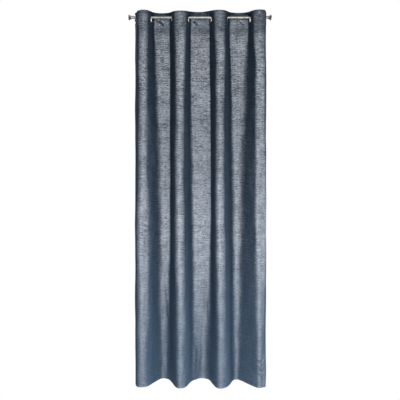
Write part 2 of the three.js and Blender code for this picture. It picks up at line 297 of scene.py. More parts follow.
def cloth_line(z):
    """(points, marks): the line at every LINE_STEP, and where along it each bend starts and ends."""
    corners = corners_at(z)
    bends, back_left, back_right = bends_at(corners)
    places = corners[:, :2]
    straights = [np.linalg.norm(places[i + 1] - places[i]) - bends[i].tangent - bends[i + 1].tangent
                 for i in range(CORNERS - 1)]
    arcs = [bend.radius * bend.turn for bend in bends]
    edge_run = (FLAT_WIDTH - sum(straights) - sum(arcs)) / 2 + (bends[0].tangent + bends[-1].tangent) / 2
    left_run, right_run = edge_run - bends[0].tangent, edge_run - bends[-1].tangent
    runs = [left_run, *straights, right_run]
    starts = np.cumsum(runs[:-1]) + np.concatenate([[0.0], np.cumsum(arcs[:-1])])
    ends = starts + arcs

    # The line's direction along the cloth, from the bends of each kind, eased.
    steps = int(round(FLAT_WIDTH / LINE_STEP))
    middles = (np.arange(steps) + 0.5) * LINE_STEP
    direction = np.full(steps, math.atan2(-back_left[1], -back_left[0]))
    for kind, easing in easings_at(z).items():
        turned_by = np.zeros(steps)
        for i, bend in enumerate(bends):
            if bend_kind(i) == kind:
                turned_by += bend.side * bend.turn * np.clip((middles - starts[i]) / arcs[i], 0.0, 1.0)
        direction += blurred(turned_by, easing)

    # The easing shortens each bend a little, so the end is brought back to its place all along the line.
    start = places[0] + back_left * (left_run + bends[0].tangent)
    end = places[-1] + back_right * (right_run + bends[-1].tangent)
    moves = LINE_STEP * np.stack([np.cos(direction), np.sin(direction)], axis=1)
    points = start + np.concatenate([[[0.0, 0.0]], np.cumsum(moves, axis=0)])
    share = np.linspace(0, 1, steps + 1)[:, None]
    points = (points + share * (end - points[-1])) * (1, 1 + DEPTH_GAIN * lowered_at(z))
    return points, np.stack([starts, ends], axis=1).ravel()


# ---- Relief: small troughs, ridges and slow waves on the folds ----

# A trough or ridge runs down a fold from top to foot (height above the hem). Its place is a share of the
# fold's crest, 0 at its left bend and 1 at its right one, at its top and at its foot.
Crease = namedtuple("Crease", "fold top foot share_top share_foot width height")
CREASES = [
    Crease("front_1", 2528, 2472, -0.9, -0.9, 35, -6.0),
    Crease("back_1", 2456, 2414, 0.26, 0.62, 5, -9.0),
    Crease("back_1", 2456, 2420, 0.14, 0.40, 7, 3.0),
    Crease("back_2", 2454, 2414, 0.10, 0.38, 5, -8.0),
    Crease("back_3", 2450, 2420, 0.55, 0.75, 6, -4.0),
    Crease("back_1", 2490, 2460, 0.02, 0.14, 5, 4.0),
    Crease("back_2", 2492, 2460, 0.04, 0.06, 5, 4.0),
    Crease("back_2", 2492, 2460, 0.95, 0.93, 5, 4.0),
    Crease("back_1", 720, 420, 0.46, 0.56, 9, -2.2),
    Crease("back_1", 640, 420, 0.78, 0.96, 8, 2.2),
    Crease("back_1", 300, 0, 0.48, 0.42, 8, 3.0),
    Crease("back_2", 1900, 1250, 0.46, 0.50, 16, -2.0),
    Crease("back_2", 590, 420, 0.76, 0.84, 6, -2.6),
    Crease("back_2", 590, 420, 0.90, 0.94, 7, 2.4),
    Crease("back_2", 440, 404, 0.66, 0.50, 8, 2.2),
    Crease("back_2", 290, 0, 0.20, 0.22, 11, 1.3),
    Crease("back_2", 290, 0, 0.58, 0.58, 11, 2.2),
    Crease("front_1", 1500, 300, 0.72, 0.80, 13, -1.8),
    Crease("front_2", 200, 130, 0.52, 0.56, 12, 2.0),
    Crease("front_4", 214, 160, -0.20, 0.60, 7, 4.0),
    Crease("front_4", 196, 158, 1.10, 0.66, 6, 3.5),
    Crease("front_4", 166, 122, -0.10, 0.60, 7, 4.0),
    Crease("front_4", 150, 120, 1.05, 0.66, 6, 3.5),
    Crease("front_4", 116, 76, -0.10, 0.60, 7, 4.0),
    Crease("front_4", 104, 76, 1.05, 0.66, 6, 3.5),
]

# Slow waves in the cloth: how long across and down, where they start, and how high.
Wave = namedtuple("Wave", "across down start height")
WAVES = [
    Wave(173, 610, 0.4, 0.9),
    Wave(97, -420, 1.9, 0.6),
    Wave(61, 260, 3.1, 0.35),
    Wave(41, -190, 5.0, 0.22),
]
WAVES_FADE = 120  # mm below the heading over which the waves come in
CREASE_FADE = 0.25  # share of a crease's length over which each of its ends fades


def crest_place(marks, fold_name, share):
    """Where along the cloth a share of a fold's crest lies, for one row's marks."""
    fold = FOLD_NAMES.index(fold_name)
    left = marks[4 * fold + 2] / 2 + marks[4 * fold + 3] / 2
    right = marks[4 * fold + 4] / 2 + marks[4 * fold + 5] / 2
    return left + share * (right - left)


def relief_at(along, z, marks):
    """How far the cloth stands towards the room of its plain folds, at places along one row."""
    total = np.zeros_like(along)
    for wave in WAVES:
        total += wave.height * np.sin(2 * math.pi * (along / wave.across + z / wave.down) + wave.start)
    total *= smooth((HEADING_FOOT - z) / WAVES_FADE)
    for crease in CREASES:
        t = (HEM + crease.top - z) / (crease.top - crease.foot)
        if not 0 < t < 1:
            continue
        share = crease.share_top + t * (crease.share_foot - crease.share_top)
        ends = smooth(t / CREASE_FADE) * smooth((1 - t) / CREASE_FADE)
        off = (along - crest_place(marks, crease.fold, share)) / crease.width
        total += crease.height * ends * np.exp(-off * off)
    return total


# How far the heading's top edge and the hem lie above their plain heights, at places on the folds.
Lift = namedtuple("Lift", "fold share top foot")
LIFTS = [
    Lift("front_1", -0.9, -6.0, 1.0),
    Lift("front_1", 0.1, 0.5, 0.0),
    Lift("front_1", 0.6, 3.3, 0.0),
    Lift("back_1", 0.5, -1.0, 0.0),
    Lift("front_2", 0.4, -2.4, -6.0),
    Lift("back_2", 0.25, 4.6, 9.0),
    Lift("back_2", 0.6, 5.2, 11.0),
    Lift("back_2", 0.95, 7.5, 7.0),
    Lift("front_3", 0.4, 1.4, -7.0),
    Lift("back_3", 0.4, -1.0, 1.0),
    Lift("front_4", 0.5, 3.3, -1.0),
]
LIFT_REACH = 320  # mm above the hem over which the lift comes in


def lift_at(along, z, marks):
    """How far the points of one row lie above its plain height."""
    top = raised_at(z)
    foot = smooth((HEM + LIFT_REACH - z) / LIFT_REACH)
    if top == foot == 0:
        return np.zeros_like(along)
    places = np.array([crest_place(marks, lift.fold, lift.share) for lift in LIFTS])
    lifts = np.array([top * lift.top + foot * lift.foot for lift in LIFTS])
    after = np.clip(np.searchsorted(places, along), 1, len(LIFTS) - 1)
    share = smooth((along - places[after - 1]) / (places[after] - places[after - 1]))
    return lifts[after - 1] + share * (lifts[after] - lifts[after - 1])


# ---- The cloth's surface ----

CLOTH_THICKNESS = 1.2
HEM_EXTRA = 1.5  # the turned-in layers, on the wall side
SIDE_HEM = 25
STITCH_INSET = 3  # of the side hems' stitches from their inner edge
SIDE_STITCH = SIDE_HEM - STITCH_INSET
HEM_STITCH_Z = HEM + HEM_DEPTH - STITCH_INSET - 1
STITCH_DIMPLE = 0.25
DIMPLE_WIDTH = 1.6
HEM_SHOULDER = 1.6  # over which a hem's extra thickness comes in
EDGE_ROUNDING = 1.4

EDGE_COLUMNS = (0, 0.5, 1.6, 5, 10, 15, 19, 20.6, 22, 23.4, 24.6, 26.2, 30, 36)
KNEE_COLUMNS, BEND_COLUMNS, SLOPE_COLUMNS = 11, 7, 6
CREST_COLUMNS, HEADING_CREST_COLUMNS = 17, 40
TOP_ROWS = (0, 0.4, 1.2, 3)  # below the panel's top, to keep its edge's shading narrow
HEM_ROWS = (  # above the hem
    94, 91.6, 90.2, 88.8, 87.4, 86, 84.6, 82, 78, 74, 70, 66, 61,
    56, 50, 42, 34, 26, 18, 10, 5, 3, 1.4, 0.5, 0)

# Between them the rows lie closer towards the foot, where the small creases are.
Stretch = namedtuple("Stretch", "above_hem rows")  # so many rows from this height down to the next
STRETCHES = [
    Stretch(DROP - HEADING_DEPTH - 12, 58),
    Stretch(740, 28),
    Stretch(240, 30),
]

HEADING_STITCH = 5  # above the heading's foot
HEADING_ROUNDING = 1.5
FOOT_ROUNDING = 1.2
HEADING_SLACK = 0.15  # keeps the eyelets' flanges clear of the cloth
HEADING_Z = [
    *(TOP - down for down in (0, 0.2, 0.6, 1.1, 2, 4, 8)),
    *np.linspace(TOP - 12, HEADING_FOOT + 10, 18),
    *(HEADING_FOOT + up for up in (8, 6.6, 5, 3.4, 2, 1.1, 0.5, 0.05)),
]


def columns_at(marks, crest_columns):
    """Places along the cloth for one row of points, which keep to the same part of the same fold."""
    edge = list(EDGE_COLUMNS)
    places = [edge]
    at = edge[-1]
    for bend in range(1, CORNERS - 1):
        start, end = marks[2 * bend], marks[2 * bend + 1]
        count = KNEE_COLUMNS if bend == 1 else (crest_columns if bend % 2 == 0 else SLOPE_COLUMNS)
        places.append(np.linspace(at, start, count + 1)[1:])
        places.append(np.linspace(start, end, BEND_COLUMNS + 1)[1:])
        at = end
    places.append(np.linspace(at, FLAT_WIDTH - edge[-1], KNEE_COLUMNS + 1)[1:])
    places.append([FLAT_WIDTH - e for e in reversed(edge[:-1])])
    return np.concatenate(places)


def rounded(distance, radius):
    """1 well inside an edge, falling to 0 at it along a quarter circle."""
    t = np.clip(distance / radius, 0.0, 1.0)
    return np.sqrt(np.maximum(0.0, 1 - (1 - t) ** 2))


Row = namedtuple("Row", "along line room relief height")


def cloth_row(z, along=None):
    """One row of points: places along the cloth and on the plan line, ways to the room, relief, heights."""
    line, marks = cloth_line(z)
    if along is None:
        along = columns_at(marks, HEADING_CREST_COLUMNS if z > HEADING_FOOT else CREST_COLUMNS)
    steps = np.arange(len(line)) * (FLAT_WIDTH / (len(line) - 1))
    x, y = (np.interp(along, steps, line[:, k]) for k in (0, 1))
    grow = np.gradient(line, axis=0)
    dx, dy = (np.interp(along, steps, grow[:, k]) for k in (0, 1))
    size = np.hypot(dx, dy)
    room = np.stack([dy / size, -dx / size], axis=1)
    relief, lift = relief_at(along, z, marks), lift_at(along, z, marks)
    return Row(along, np.stack([x, y], axis=1), room, relief, z + lift)


def side_distance(along):
    return np.minimum(along, FLAT_WIDTH - along)


def panel_offsets(along, z):
    """How far the panel's two faces lie from its middle: towards the room, and towards the wall."""
    inward, up = side_distance(along), z - HEM
    side_hem = smooth((SIDE_HEM - inward) / HEM_SHOULDER + 1)
    foot_hem = smooth((HEM_DEPTH - up) / HEM_SHOULDER + 1)
    side_line = np.exp(-((inward - SIDE_STITCH) / DIMPLE_WIDTH) ** 2)
    foot_line = math.exp(-((z - HEM_STITCH_Z) / DIMPLE_WIDTH) ** 2)
    dimple = STITCH_DIMPLE * np.maximum(side_line, foot_line)
    edge = rounded(inward, EDGE_ROUNDING) * rounded(up, EDGE_ROUNDING)
    front = (CLOTH_THICKNESS / 2 - dimple) * edge
    back = (CLOTH_THICKNESS / 2 + HEM_EXTRA * np.maximum(side_hem, foot_hem) - dimple) * edge
    return front, back


def heading_offsets(along, z):
    """How far the heading's two faces lie from its middle."""
    line = math.exp(-((z - HEADING_FOOT - HEADING_STITCH) / DIMPLE_WIDTH) ** 2)
    ends = rounded(TOP - z, HEADING_ROUNDING) * rounded(z - HEADING_FOOT, FOOT_ROUNDING)
    edge = rounded(side_distance(along), EDGE_ROUNDING) * ends
    half = (HEADING_THICKNESS / 2 - HEADING_SLACK) * edge - STITCH_DIMPLE * line
    return half, half


def sheet_faces(rows, columns):
    """The quads of a closed sheet: the room side's grid, then the wall side's, then the four edges."""
    room = np.arange(rows * columns).reshape(rows, columns)
    wall = room + rows * columns
    a, b, c, d = room[:-1, :-1], room[1:, :-1], room[1:, 1:], room[:-1, 1:]
    faces = [np.stack([a, b, c, d], -1).reshape(-1, 4)]
    faces.append(np.stack([a, d, c, b], -1).reshape(-1, 4) + rows * columns)
    edges = [(room[:, 0], wall[:, 0]), (wall[:, -1], room[:, -1]), (wall[0], room[0]), (room[-1], wall[-1])]
    for near, far in edges:
        faces.append(np.stack([near[:-1], far[:-1], far[1:], near[1:]], -1))
    return np.concatenate(faces)


def sheet_mesh(name, heights, offsets, material):
    """A closed thin sheet on the folds, a row of points for each height, with its flat size as its UVs."""
    room_side, wall_side, flat = [], [], []
    for z in heights:
        row = cloth_row(z)
        near, far = offsets(row.along, z)
        for grid, off in ((room_side, row.relief + near), (wall_side, row.relief - far)):
            grid.append(np.column_stack([row.line + row.room * off[:, None], row.height]))
        flat.append(np.column_stack([row.along, np.full(len(row.along), z)]))
    faces = sheet_faces(len(room_side), len(room_side[0]))
    points = np.concatenate(room_side + wall_side) * MM
    flat_at = np.tile(np.concatenate(flat) * MM, (2, 1))
    return add_mesh(name, points, faces, material, flat_at)


def add_mesh(name, points, faces, material, flat_at=None):
    """A smooth piece of one material, in metres, with UVs if each point's flat place is given."""
    mesh = bpy.data.meshes.new(name)
    mesh.from_pydata([tuple(p) for p in points], [], [tuple(int(i) for i in f) for f in faces])
    if flat_at is not None:
        uv = mesh.uv_layers.new(name="flat")
        corners = np.zeros(len(mesh.loops), dtype=np.int32)
        mesh.loops.foreach_get("vertex_index", corners)
        uv.data.foreach_set("uv", flat_at[corners].astype(np.float32).ravel())
    mesh.polygons.foreach_set("use_smooth", [True] * len(mesh.polygons))
    mesh.materials.append(material)
    mesh.update()
    piece = bpy.data.objects.new(name, mesh)
    bpy.context.scene.collection.objects.link(piece)
    return piece


HOLE_RADIUS = 22.0
HOLE_SIDES = 48
PUNCH_LENGTH = 16


def eyelet_frame(index):
    """Where an eyelet sits: its local Z is the way the cloth's room side faces there."""
    slope = math.radians(EYELETS[index].slope)
    sideways = math.sin(slope) if index % 2 else -math.sin(slope)
    facing = Vector((sideways, -math.cos(slope), 0))
    up = Vector((0, 0, 1))
    across = up.cross(facing)
    turn = Matrix((across, up, facing)).transposed().to_4x4()
    return Matrix.Translation(Vector((EYELETS[index].x, 0, EYELET_Z)) * MM) @ turn


def punch_holes(piece):
    """Cuts the eyelets' holes through the heading."""
    cutters = []
    for index in range(len(EYELETS)):
        bpy.ops.mesh.primitive_cylinder_add(
            vertices=HOLE_SIDES, radius=HOLE_RADIUS * MM, depth=PUNCH_LENGTH * MM)
        cutter = bpy.context.object
        cutter.matrix_world = eyelet_frame(index)
        cutters.append(cutter)
    bpy.context.view_layer.update()
    for cutter in cutters:
        cut = piece.modifiers.new("punch", "BOOLEAN")
        cut.operation = "DIFFERENCE"
        cut.solver = "EXACT"
        cut.object = cutter
    bpy.context.view_layer.update()
    evaluated = piece.evaluated_get(bpy.context.evaluated_depsgraph_get())
    mesh = bpy.data.meshes.new_from_object(evaluated)
    mesh.name = piece.name
    piece.modifiers.clear()
    piece.data = mesh
    for cutter in cutters:
        bpy.data.objects.remove(cutter)


# ---- Turned pieces: eyelets, rod and finials ----

ON_AXIS = 1e-6  # smaller radii are one point


def turned(name, profile, sides, material, place):
    """A piece turned round its local Z from a closed or axis-to-axis profile of (radius, height)."""
    closed = profile[0] == profile[-1]
    if closed:
        profile = profile[:-1]
    angles = np.arange(sides) * (2 * math.pi / sides)
    points, rings = [], []
    for radius, height in profile:
        if radius < ON_AXIS:
            rings.append([len(points)] * sides)
            points.append((0.0, 0.0, height))
            continue
        rings.append(list(range(len(points), len(points) + sides)))
        points += [(radius * math.cos(a), radius * math.sin(a), height) for a in angles]
    faces = []
    for low, high in zip(rings, rings[1:] + (rings[:1] if closed else [])):
        for k in range(sides):
            n = (k + 1) % sides
            loop = [low[k], low[n], high[n], high[k]]
            faces.append([v for i, v in enumerate(loop) if v not in loop[:i]])
    placed = [place @ (Vector(p) * MM) for p in points]
    return add_mesh(name, placed, faces, material)


def arc(centre, across, along, start, end, steps):
    """Points round part of an ellipse of (radius, height), angles in degrees."""
    angles = np.radians(np.linspace(start, end, steps + 1))
    return [(centre[0] + across * math.cos(a), centre[1] + along * math.sin(a)) for a in angles]


EYELET_SIDES = 72
SEAT = HEADING_THICKNESS / 2 + FIT_GAP  # from the heading's middle
WASHER_THICKNESS = 1.8
WASHER_RIM = 0.3  # upright part of its edge
FLANGE_THICKNESS = 2.4
INNER_CURL, OUTER_CURL = 1.4, 1.0
OUTER_CURL_LIFT, OUTER_CURL_LOW = 0.5, 0.2  # its middle off the seat, its crown below the inner curl's
FLANGE_INSET = 0.2  # of its foot under its rim
BARREL_ROLL, BARREL_CHAMFER = 0.4, 0.5
CURL_STEPS, DOME_STEPS = 8, 10


def eyelet_face(index, material):
    """The eyelet's room half: a flange with curled rims, and the barrel with its rolled end."""
    barrel_end = -(SEAT + WASHER_THICKNESS + FIT_GAP)
    inner = (EYELET_RADIUS + INNER_CURL, SEAT + FLANGE_THICKNESS - INNER_CURL)
    outer = (FLANGE_RADIUS - OUTER_CURL, SEAT + OUTER_CURL_LIFT)
    outer_height = FLANGE_THICKNESS - OUTER_CURL_LIFT - OUTER_CURL_LOW
    profile = [
        (EYELET_RADIUS, barrel_end + BARREL_ROLL),
        *arc(inner, INNER_CURL, INNER_CURL, 180, 90, CURL_STEPS),
        *arc(outer, OUTER_CURL, outer_height, 80, 0, CURL_STEPS),
        (FLANGE_RADIUS - FLANGE_INSET, SEAT),
        (BARREL_RADIUS, SEAT),
        (BARREL_RADIUS, barrel_end + BARREL_ROLL),
        (BARREL_RADIUS - BARREL_CHAMFER, barrel_end),
        (EYELET_RADIUS + BARREL_ROLL, barrel_end),
    ]
    profile.append(profile[0])
    return turned(f"eyelet_{index + 1}_face", profile[::-1], EYELET_SIDES, material, eyelet_frame(index))


def eyelet_back(index, material):
    """The eyelet's wall half: a low domed washer round the barrel."""
    inner = BARREL_RADIUS + FIT_GAP
    middle, half = (inner + FLANGE_RADIUS) / 2, (FLANGE_RADIUS - inner) / 2
    dome = arc((middle, -SEAT - WASHER_RIM), half, WASHER_THICKNESS - WASHER_RIM, 0, -180, DOME_STEPS)
    profile = [(FLANGE_RADIUS, -SEAT), *dome, (inner, -SEAT)]
    profile.append(profile[0])
    return turned(f"eyelet_{index + 1}_back", profile, EYELET_SIDES, material, eyelet_frame(index))


ROD_SIDES = 64
ROD_CHAMFER = 1
ROD_RINGS = 40
SOCKET_FLOOR = 18  # from the finial's tip
FINIAL_LENGTH = 40
FINIAL_SIDES = 96
COLLAR_RADIUS = 10.4
ALONG_X = Matrix.Rotation(math.radians(90), 4, "Y")
AGAINST_X = Matrix.Rotation(math.radians(-90), 4, "Y")

# A finial's outside from its collar to its tip. A rolled rim lies between the trumpet and the dome.
Turning = namedtuple("Turning", "from_tip radius")
COLLAR = [
    Turning(FINIAL_LENGTH, COLLAR_RADIUS - 0.5),
    Turning(FINIAL_LENGTH - 0.5, COLLAR_RADIUS),
    Turning(31, COLLAR_RADIUS),
    Turning(30.4, COLLAR_RADIUS - 0.5),
    Turning(29, COLLAR_RADIUS - 0.9),
    Turning(27, COLLAR_RADIUS - 0.9),
]
TRUMPET = [
    Turning(26, COLLAR_RADIUS - 0.5),
    Turning(22, 11),
    Turning(18, 12.4),
    Turning(14, 14.6),
    Turning(10, 17.8),
    Turning(8, 19.3),
]
TRUMPET_STEPS = 6  # in each stretch
RIM_MIDDLE = Turning(6.8, 18.0)
RIM_ACROSS, RIM_ALONG = 1.5, 1.4
DOME = [
    Turning(5.2, 17.2),
    Turning(4.0, 15.8),
    Turning(2.7, 13.6),
    Turning(1.6, 10.6),
    Turning(0.7, 7),
    Turning(0.2, 3.4),
    Turning(0, 0),
]


def rod_tube(material):
    half, end_radius = HALF_SPAN - SOCKET_FLOOR - FIT_GAP, ROD_RADIUS - ROD_CHAMFER
    rings = [(ROD_RADIUS, h) for h in np.linspace(-half + ROD_CHAMFER, half - ROD_CHAMFER, ROD_RINGS)]
    profile = [(0, -half), (end_radius, -half), *rings, (end_radius, half), (0, half)]
    return turned("rod_tube", profile, ROD_SIDES, material, ALONG_X)


def eased(rows, steps):
    """A smooth curve through a profile's rows, steps points to each stretch."""
    at = np.array(rows, dtype=float)
    slopes = np.gradient(at, axis=0)
    curve = []
    for a, b, out, into in zip(at, at[1:], slopes, slopes[1:]):
        for t in np.linspace(0, 1, steps, endpoint=False):
            h = t * t * (3 - 2 * t)
            curve.append(a + h * (b - a) + t * (1 - t) ** 2 * out - t * t * (1 - t) * into)
    return curve


def finial(name, place, material):
    """A trumpet with a rolled rim and a domed end. Local Z runs from the rod's middle out to the tip."""
    tip, bore = HALF_SPAN, ROD_RADIUS + FIT_GAP
    profile = [(0, tip - SOCKET_FLOOR), (bore, tip - SOCKET_FLOOR), (bore, tip - FINIAL_LENGTH)]
    profile += [(radius, tip - from_tip) for from_tip, radius in [*COLLAR, *eased(TRUMPET, TRUMPET_STEPS)]]
    rim = (RIM_MIDDLE.radius, tip - RIM_MIDDLE.from_tip)
    profile += arc(rim, RIM_ACROSS, RIM_ALONG, -60, 80, CURL_STEPS)
    profile += [(radius, tip - from_tip) for from_tip, radius in DOME]
    return turned(name, profile, FINIAL_SIDES, material, place)


# ---- Stitches ----

STITCH_PITCH = 3.2
STITCH_LENGTH = 2.3
THREAD_RADIUS = 0.28
THREAD_SIDES = 6

# A stitch's rings: where along its half length, and how wide and how far out in thread radii.
ThreadRing = namedtuple("ThreadRing", "share size lift")
THREAD_RINGS = [
    ThreadRing(-1.0, 0.35, -0.35),
    ThreadRing(-0.7, 0.95, 0.1),
    ThreadRing(0.0, 1.1, 0.2),
    ThreadRing(0.7, 0.95, 0.1),
    ThreadRing(1.0, 0.35, -0.35),
]

Stitch = namedtuple("Stitch", "place along out")


def stitches(name, run, material):
    """Short capsules of thread, one for each stitch of a run, joined in one mesh."""
    points, faces = [], []
    for place, along, out in run:
        across = np.cross(along, out)
        first = len(points)
        for share, size, lift in THREAD_RINGS:
            middle = place + along * share * STITCH_LENGTH / 2 + out * lift * THREAD_RADIUS
            for k in range(THREAD_SIDES):
                a = 2 * math.pi * k / THREAD_SIDES
                points.append(middle + THREAD_RADIUS * size * (math.cos(a) * across + math.sin(a) * out))
        rings = len(THREAD_RINGS)
        for r in range(rings - 1):
            for k in range(THREAD_SIDES):
                n = (k + 1) % THREAD_SIDES
                low, high = first + r * THREAD_SIDES, first + (r + 1) * THREAD_SIDES
                faces.append([low + k, low + n, high + n, high + k])
        faces.append([first + k for k in reversed(range(THREAD_SIDES))])
        faces.append([first + (rings - 1) * THREAD_SIDES + k for k in range(THREAD_SIDES)])
    return add_mesh(name, np.array(points) * MM, faces, material)


def level_run(z, low, high, offsets):
    """Stitches along the cloth at one height, on both faces."""
    row = cloth_row(z, np.arange(low, high, STITCH_PITCH))
    near, far = offsets(row.along, z)
    run = []
    for face, off in ((1, row.relief + near), (-1, row.relief - far)):
        xy = row.line + row.room * off[:, None]
        for (x, y), (nx, ny), up in zip(xy, row.room, row.height):
            along, out = np.array([-ny, nx, 0.0]), face * np.array([nx, ny, 0.0])
            run.append(Stitch(np.array([x, y, up]), along, out))
    return run


def upright_run(along, low, high, offsets):
    """Stitches up the cloth at one place across it, on both faces."""
    run = []
    for z in np.arange(low, high, STITCH_PITCH):
        row = cloth_row(z, np.array([float(along)]))
        near, far = offsets(row.along, z)
        out = np.array([*row.room[0], 0.0])
        for face, off in ((1, row.relief + near), (-1, row.relief - far)):
            xy = row.line[0] + row.room[0] * off[0]
            run.append(Stitch(np.array([*xy, row.height[0]]), np.array([0.0, 0.0, 1.0]), face * out))
    return run


# ---- Materials ----

class Nodes:
    """Adds nodes to one tree. An input given as a socket is linked, and one given as a value is set."""

    def __init__(self, tree):
        self.tree = tree
        tree.nodes.clear()

    def add(self, kind, inputs=None, **settings):
        node = self.tree.nodes.new("ShaderNode" + kind)
        for key, value in settings.items():
            setattr(node, key, value)
        for key, value in (inputs or {}).items():
            if isinstance(value, bpy.types.NodeSocket):
                self.tree.links.new(value, node.inputs[key])
            else:
                node.inputs[key].default_value = value
        return node

    def scaled(self, vector, by):
        return self.add("VectorMath", {0: vector, 1: by}, operation="MULTIPLY").outputs[0]

    def noise(self, vector, by, detail, roughness):
        inputs = {"Vector": self.scaled(vector, by), "Scale": 1.0, "Detail": detail, "Roughness": roughness}
        return self.add("TexNoise", inputs).outputs["Fac"]

    def ramp(self, value, low, high, to_low=0.0, to_high=1.0):
        inputs = {"Value": value, "From Min": low, "From Max": high, "To Min": to_low, "To Max": to_high}
        return self.add("MapRange", inputs, interpolation_type="SMOOTHSTEP").outputs[0]

    def maths(self, operation, a, b=0.0, c=0.0):
        return self.add("Math", {0: a, 1: b, 2: c}, operation=operation).outputs[0]

    def by_height(self, height, rows, column):
        """A table's column as a smooth curve over height, in metres."""
        top, foot, peak = rows[0].z, rows[-1].z, max(getattr(row, column) for row in rows)
        share = self.add("MapRange", {"Value": height, "From Min": foot, "From Max": top}).outputs[0]
        node = self.add("FloatCurve", {"Value": share})
        curve = node.mapping.curves[0]
        while len(curve.points) < len(rows):
            curve.points.new(0.5, 0.5)
        for point, row in zip(curve.points, reversed(rows)):
            point.location = ((row.z - foot) / (top - foot), getattr(row, column) / peak)
        node.mapping.update()
        return self.maths("MULTIPLY", node.outputs[0], peak)

    def mix(self, share, a, b):
        return self.add("Mix", {0: share, 6: a, 7: b}, data_type="RGBA").outputs[2]

    def finish(self, shader):
        self.add("OutputMaterial", {"Surface": shader})


def new_material(name):
    material = bpy.data.materials.new(name)
    material.use_nodes = True
    return material, Nodes(material.node_tree)


NAVY = (0.030, 0.049, 0.076, 1)
DEEP_NAVY = (0.013, 0.021, 0.033, 1)
SILVER = (0.30, 0.325, 0.363, 1)
PEWTER = (0.031, 0.038, 0.049, 1)
SATIN_ROUGHNESS, HEADING_ROUGHNESS = 0.60, 0.40
MATT_ROUGHNESS, MATT_SPECULAR = 0.85, 0.12
SATIN_FULL, SATIN_GONE = 0.02, 0.48  # how far the cloth turns from the eye as its satin face fades
HEADING_SATIN_WIDER = 0.16  # how much further the heading turns
SATIN_SHARE = 0.86

# The noises that make up the cloth's tone: how fine across and up the flat cloth, and their weights.
Tone = namedtuple("Tone", "fineness roughness weight")
TONES = [
    Tone((34, 190, 1), 0.55, 1.15),  # thick slubs
    Tone((75, 420, 1), 0.6, 0.65),  # finer ones
    Tone((80, 120, 1), 0.55, 0.75),  # flecks
    Tone((8, 110, 1), 0.6, 0.55),  # bands of weft
    Tone((10, 14, 1), 0.5, 0.45),  # clouds
    Tone((90, 5, 1), 0.5, 0.30),  # warp streaks
]
TONE_DETAIL = 2
WEFT, WARP = (300, 1400, 1), (1100, 40, 1)  # the single yarns' fineness
WEFT_TONE = 0.5
WEFT_RELIEF, WARP_RELIEF, TONE_RELIEF = 0.5, 0.35, 0.8
RELIEF_STRENGTH, RELIEF_DEPTH = 0.3, 0.0006

# Painted shade on the satin, which comes in between each pair of places, in metres: on the outer folds near
# the top, and on the heading a painted shadow of the rod over the back folds above it.
OUTER_SHADE_SHARE = 0.5
OUTER_SHADE_LEFT_SHARE = 0.4  # of the painted shade on the right
OUTER_SHADE_RIGHT, OUTER_SHADE_LEFT, OUTER_SHADE_UP = (0.33, 0.37), (-0.33, -0.37), (-0.20, 0.0)
# Painted shadow of the rod on the heading's back folds above it: how much satin it takes, and where it
# comes in.
ROD_SHADOW_SHARE = 0.75
ROD_SHADOW_BACK, ROD_SHADOW_UP = (0.015, 0.035), (0.004, 0.014)

# By height in metres: how much of the satin shows, which is painted shade below the heading, a painted fall
# of light towards the hem and a painted highlight along the hem's edge; how strong the slubs are; how light
# the matt yarn is, which is painted light from below, rising towards the hem.
HeightRow = namedtuple("HeightRow", "z satin slubs matt")
SHADE_AND_SLUBS_BY_HEIGHT = [
    HeightRow(0.036, 0.76, 1.0, 1.0),
    HeightRow(-0.035, 0.77, 1.0, 1.0),
    HeightRow(-0.065, 0.73, 1.0, 1.0),
    HeightRow(-0.100, 0.88, 1.1, 1.0),
    HeightRow(-0.160, 1.32, 1.3, 1.0),
    HeightRow(-0.350, 1.22, 1.3, 1.0),
    HeightRow(-0.650, 1.02, 1.05, 1.10),
    HeightRow(-1.100, 0.97, 0.9, 1.25),
    HeightRow(-1.350, 1.05, 0.9, 1.4),
    HeightRow(-1.600, 0.92, 0.8, 1.55),
    HeightRow(-1.850, 0.78, 0.60, 1.75),
    HeightRow(-2.150, 0.63, 0.55, 2.0),
    HeightRow(-2.435, 0.63, 0.55, 2.2),
    HeightRow(-2.464, 1.20, 0.55, 2.4),
]


